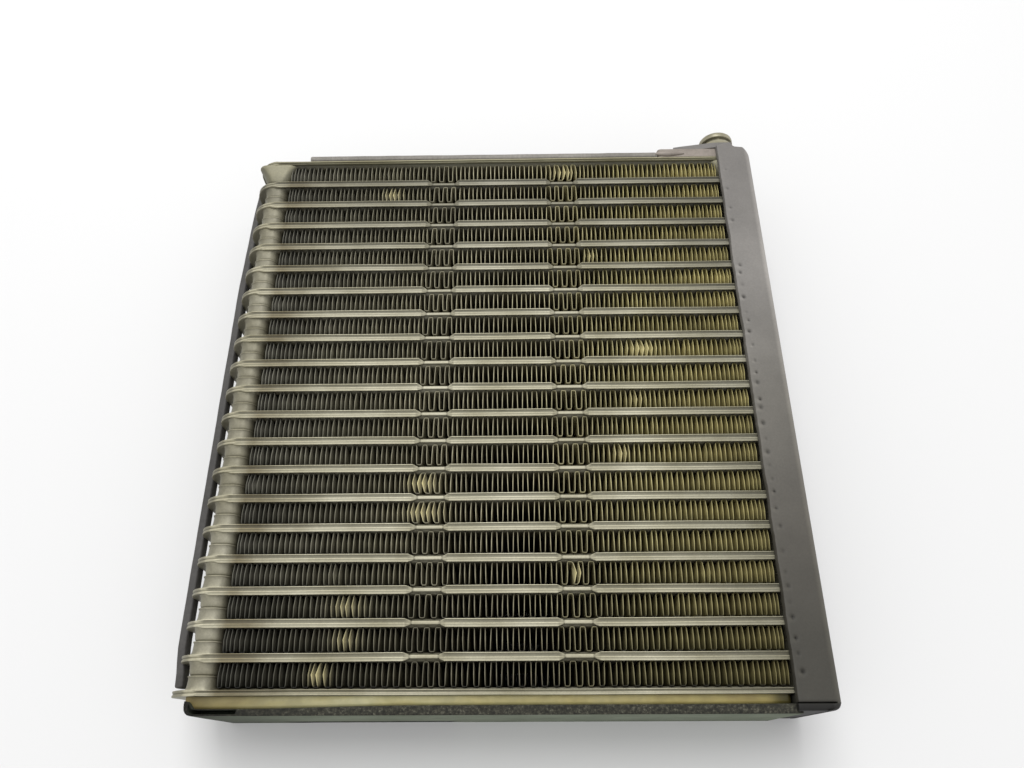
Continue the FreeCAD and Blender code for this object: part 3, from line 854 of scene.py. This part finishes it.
# The skin has come off the tray at the left end, which leaves a deep slot. The right end goes under
# the wrap.
slot_end = low.x + 17.0
corner = 2.6
near_rings = []
for place in np.concatenate([bar_places(low.x, slot_end, corner, 2.0),
                             bar_places(slot_end + 0.2, high.x, 0.8, 2.0)]):
    from_left = min(place - low.x, corner)
    rounding = corner - math.sqrt(max(corner ** 2 - (corner - from_left) ** 2, 0.0))
    front = low.y + rounding * 0.95
    undercut = 1.4 * ramp(place, -74.0, -66.0) * (1 - ramp(place, -16.0, -13.0))
    depth = 9.0 if low.x + 2.4 < place <= slot_end else 0.02
    back = high.y - tray_bulge(place) + 2.4 * (1 - ramp(place, low.x + 0.6, low.x + 3.0))
    swell = 0.12 * noise.noise(Vector((place * 0.08, 0, 0)))
    wave = swell + 0.06 * noise.noise(Vector((place * 0.5, 5, 0)))
    lip = min(front + (1.25 if depth < 1 else 0.5), back - 0.5)
    ring = [
        (back, low.z), (front + 0.4, low.z), (front, low.z + 0.4 + undercut), (front - wave, low.z + 14.0),
        (front + wave, high.z - 14.0), (front, high.z - 3.2), (front + 0.12, high.z - 2.9),
        (front, high.z - 2.6), (front, high.z - 0.4), (front + 0.12, high.z - 0.12), (front + 0.4, high.z),
        (lip, high.z + wave), (lip + 0.06, high.z - depth), (back - 0.3, high.z - depth),
        (back - 0.24, high.z), (back, high.z - 0.1)]
    near_rings.append(along("x", place, np.array(ring)))
near_strip = stacked_piece("near_strip", near_rings)
place_piece(near_strip, near_foam, "foam", "near_seal")


# Foam wrap. One thick foam sheet is folded round the right tank. A row of small dents runs along its
# left edge, and a slit at the near end parts the folded flap from the sheet on top.
# Dark grey skin with a brown cast and dusty patches. Painted sheen makes the far end paler, where light from
# behind glances off it, and painted shade makes the near end nearly black. Its cells are drawn 0.8 mm wide,
# larger than real ones, to show.
wrap_foam, tree, place, at = new_material("tank wrap foam")
share = add_node(tree, "MapRange", (at["Y"], -122.0, 120.0, 0.0, 1.0))
# Painted light along the wrap: painted shade at the near end, painted sheen towards the far end.
skin_tone = add_node(tree, "ValToRGB", [share], [
    (0.0, "#131210"), (0.009, "#181715"), (0.013, "#3a3832"), (0.1, "#3b3933"), (0.23, "#48453f"),
    (0.455, "#625f59"), (0.68, "#75726e"), (1.0, "#686562")])
clouds = add_node(tree, "TexNoise", {"Vector": place, "Scale": 1 / 20.0, "Detail": 5.0, "Roughness": 0.6})
patches = add_node(tree, "MapRange", (clouds, 0.3, 0.7, 0.88, 1.1))
cells = add_node(tree, "TexNoise", {"Vector": place, "Scale": 1 / 0.769, "Detail": 2.0, "Roughness": 0.6})
fine = add_node(tree, "MapRange", (cells, 0.3, 0.7, 0.93, 1.05))
# Wear and painted light carried by the points: the paler worn corner, painted shade in the dents and painted
# glints beside them.
wear_and_painted_light = add_node(tree, "Attribute", attribute_name="wear_and_painted_light").outputs["Fac"]
wear_and_dent_tone = add_node(tree, "MapRange", (wear_and_painted_light, 0.0, 1.0, 0.2, 1.8))
close_material(tree, {"Base Color": layered(tree, skin_tone, patches, fine, wear_and_dent_tone), "Roughness": 0.6,
                      "Specular IOR Level": 0.3}, cells)

wrap_low, wrap_high = box_mm("tank_seal")
foam = wrap_high.z - z_high
wrap_left = half_length + foam - 14.1
outer = wrap_high.x
corner = 2.6
bend_x = outer - corner
lower_bend, _ = arc_stations(bend_x, wrap_low.z + corner, corner, -90, 0, 6)
upper_bend, _ = arc_stations(bend_x, wrap_high.z - corner, corner, 0, 90, 6)
wrap_outline = np.concatenate([
    [(x, wrap_low.z) for x in np.linspace(wrap_left, bend_x, 6)[:-1]],
    lower_bend,
    [(outer, z) for z in np.linspace(wrap_low.z + corner, wrap_high.z - corner, 8)[1:-1]],
    upper_bend,
    [(x, wrap_high.z) for x in np.linspace(bend_x, wrap_left + 0.5, 28)[1:]],
    [(wrap_left + 0.15, wrap_high.z - 0.12), (wrap_left, wrap_high.z - 0.5), (wrap_left, z_high + 0.3)],
    [(wrap_left + 0.1, z_high), (half_length, z_high), (half_length, z_low), (wrap_left, z_low)],
])
rng = np.random.default_rng(8)
near_end = wrap_low.y - 2.3
wrap_end = block_back
first_dent = near_end + 12.3
last_dent = wrap_end - 6.0
dent_pitch = 5.4
dents = []
for y in np.arange(first_dent, last_dent, dent_pitch):
    # Some are missing, most of all towards the far end.
    if rng.uniform() < np.interp(y, (20.0, 60.0), (0.95, 0.5)):
        dent_x = wrap_left + 2.4 + rng.uniform(-0.4, 0.4)
        dent_y = y + rng.uniform(-1.6, 1.6)
        size = rng.uniform(0.4, 0.75)
        dents.append((dent_x, dent_y, size, rng.uniform(0.25, 1.0)))
# Distance from the near end, rounding of the outside, and depth of the slit on top.
slit = [(0.0, 2.6, 1.3), (0.15, 1.9, 1.0), (0.5, 1.2, 0.8), (1.0, 0.6, 0.7), (1.6, 0.25, 0.65),
        (2.1, 0.1, 0.6), (2.14, 0.0, 3.0), (2.6, 0.0, 3.0), (2.64, 0.0, 0.2), (2.8, 0.0, 0.05),
        (3.1, 0.0, 0.0)]
end_fall = [(0.6, 0.05, 0.05), (0.2, 0.25, 0.25), (0.0, 0.6, 0.6)]
stations = [(near_end + d, inset, slot) for d, inset, slot in slit]
stations += [(y, 0.0, 0.0) for y in np.arange(near_end + 3.5, wrap_end - 1.0, 0.62)]
stations += [(wrap_end - d, inset, slot) for d, inset, slot in end_fall]
# The far end is cut askew: highest near the spigots, lower towards the outer corner.
cut_places = (97.0, 99.5, 102.0, 104.0, 107.8, 110.5)
cut_shifts = (-0.5, 0.2, 0.6, -1.5, -2.0, -6.0)
wrap_rings = []
wrap_wear_and_light = []
for y, inset, slot in stations:
    ring = wrap_outline.copy()
    x, z = ring[:, 0].copy(), ring[:, 1].copy()
    on_side = x > bend_x - 0.01
    on_top = z > wrap_high.z - 0.6
    on_corner = ramp(x, outer - 2.8, outer - 1.0) * ramp(z, wrap_high.z - 6.0, wrap_high.z - 2.0)
    # The outer top corner is worn paler; the dents add painted shade and painted glints.
    corner_wear_and_dent_light = 0.5 + 0.45 * on_corner
    ring[:, 0] -= inset * on_side
    ring[:, 1] -= np.where(on_top & (x < outer - 2.0), slot, 0.0)
    ring[:, 1] += inset * (z < wrap_low.z + 0.2)
    edge_wave = 0.3 * noise.noise(Vector((0, y * 0.09, 0))) + 0.15 * noise.noise(Vector((3, y * 0.45, 0)))
    ring[:, 0] += edge_wave * (x < wrap_left + 1.0)
    # Each dent is painted dark as shade, with a pale fleck beside it painted as a glint.
    for dent_x, dent_y, size, depth in dents:
        if abs(y - dent_y) < 3 * size:
            far = ((x - dent_x) ** 2 + (y - dent_y) ** 2) / size ** 2
            ring[:, 1] -= depth * np.exp(-far) * on_top
            fleck = ((x - dent_x + 0.9) ** 2 + (y - dent_y + 0.9) ** 2) / (1.3 * size) ** 2
            corner_wear_and_dent_light += (0.3 * np.exp(-fleck) - 0.6 * np.exp(-far)) * depth * on_top
    ring[:, 1] += 0.12 * noise.noise(Vector((7, y * 0.03, 0))) * on_top
    ring = along("y", y, ring)
    ring[:, 1] += float(ramp(y, wrap_end - 9.0, wrap_end)) * np.interp(x, cut_places, cut_shifts)
    wrap_rings.append(ring)
    wrap_wear_and_light.append(corner_wear_and_dent_light)
wrap = stacked_piece("tank_wrap", wrap_rings, 45, np.concatenate(wrap_wear_and_light))
place_piece(wrap, wrap_foam, "foam", "tank_seal")

# A flap of the same foam closes the near end of the tank.
flap_places = bar_places(near_end + 0.1, near_high.y - row_pitch / 2 - 1.2, 0.6, 1.5)
flap_sections = [(wrap_left + 0.25, half_length - 0.1, z_low + 0.1, z_high - 0.1)] * len(flap_places)
flap = soft_bar("near_flap", "y", flap_places, flap_sections, 0.4, 0.03)
place_piece(flap, wrap_foam, "foam", "tank_seal")

# The patch of the same foam behind the connector block, with one opening for both spigots. Its walls
# are lines, each with its outward direction and its distance from the middle; the top one slopes.
patch_centre = np.array([spigot_x, z_mid])
patch_rise = wrap_high.z - 2.5 - z_mid
slope_x, slope_z = 0.162, 0.987
walls = [((1, 0), outer - 6.0 - spigot_x), ((-1, 0), spigot_x - block_left - 8.0), ((0, 1), patch_rise),
         ((0, -1), z_mid - 2.0),
         ((-slope_x, slope_z), slope_z * patch_rise + slope_x * (spigot_x - wrap_left))]
opening = 4.2
rim_count = 64
rims = []
for angle in np.radians(np.linspace(0, 360, rim_count, endpoint=False)):
    direction = np.array([math.cos(angle), math.sin(angle)])
    across, up = np.maximum(np.abs(direction), 1e-6)
    outward = min(d / np.dot(n, direction) for n, d in walls if np.dot(n, direction) > 1e-6)
    straight = min(opening / across, (spigot_levels[1] - z_mid + opening) / up)
    outward = max(outward, straight + 0.2)
    rims.append([patch_centre + direction * straight, patch_centre + direction * outward])
inner_rim, outer_rim = np.swapaxes(rims, 0, 1)
patch_front = block_back + 0.02
patch_back = block_back + foam
loops = [along("y", patch_front, inner_rim), along("y", patch_front, outer_rim),
         along("y", patch_back - 0.3, outer_rim),
         along("y", patch_back, outer_rim * 0.985 + patch_centre * 0.015),
         along("y", patch_back, inner_rim)]
patch_faces = grid_faces(len(loops), rim_count, True, looped=True)
patch = mesh_piece("port_patch", np.concatenate(loops), patch_faces)
place_piece(patch, wrap_foam, "foam", "tank_seal")


# Stage. A plain pale table, one large soft light from the left behind the core and a weak fill, seen
# from the place of the photographer.
# Matt pale table top, which takes the shadow of the core.
table_finish, tree, *_ = new_material("pale table")
close_material(tree, {"Base Color": linear("#d6d6d6"), "Roughness": 0.7})
edge = 3000
table = mesh_piece("table", [(-edge, -edge, 0), (edge, -edge, 0), (edge, edge, 0), (-edge, edge, 0)],
                   [(0, 1, 2, 3)])
table.data.materials.append(table_finish)

lamp = bpy.data.lights.new("window", "AREA")
lamp.shape = "RECTANGLE"
lamp.size = 0.7
lamp.size_y = 1.15
lamp.energy = 14.8
window = bpy.data.objects.new("window", lamp)
bpy.context.scene.collection.objects.link(window)
window.location = (-0.08, 0.57, 1.35)
window.rotation_euler = (Vector((0, 0, 0)) - window.location).to_track_quat("-Z", "Y").to_euler()

world = bpy.data.worlds.new("room")
bpy.context.scene.world = world
world.use_nodes = True
tree = world.node_tree
tree.nodes.clear()
to_camera = add_node(tree, "LightPath").outputs["Is Camera Ray"]
fill = add_node(tree, "Background", {"Color": linear("#ffffff"), "Strength": 0.88})
seen = add_node(tree, "Background", {"Color": linear("#fdfdfd"), "Strength": 1.0})
sky = add_node(tree, "MixShader", (to_camera, fill, seen))
add_node(tree, "OutputWorld", {"Surface": sky})

# The camera was fitted to the ends of the rows in the photo: it looks steeply down on the core from
# above its near edge. Its place is in millimetres, from the near plate and the upper air face.
view = bpy.data.cameras.new("camera")
view.sensor_width = 36.0
focal_pixels = 800.0
image_width = 1024.0
view.lens = focal_pixels / image_width * view.sensor_width
camera = bpy.data.objects.new("camera", view)
bpy.context.scene.collection.objects.link(camera)
stand = Vector((9.13, near_y - 22.80, z_high + 276.80))
pitch, yaw, roll = (math.radians(v) for v in (64.2773, -1.4945, -1.8706))
look = Vector((math.sin(yaw) * math.cos(pitch), math.cos(yaw) * math.cos(pitch), -math.sin(pitch)))
level = Vector((math.cos(yaw), -math.sin(yaw), 0))
upright = level.cross(look)
right = math.cos(roll) * level + math.sin(roll) * upright
up = math.cos(roll) * upright - math.sin(roll) * level
turned = Matrix((right, up, -look)).transposed().to_4x4()
camera.matrix_world = Matrix.Translation(stand * MM) @ turned
bpy.context.scene.camera = camera
bpy.context.scene.view_settings.view_transform = "Standard"
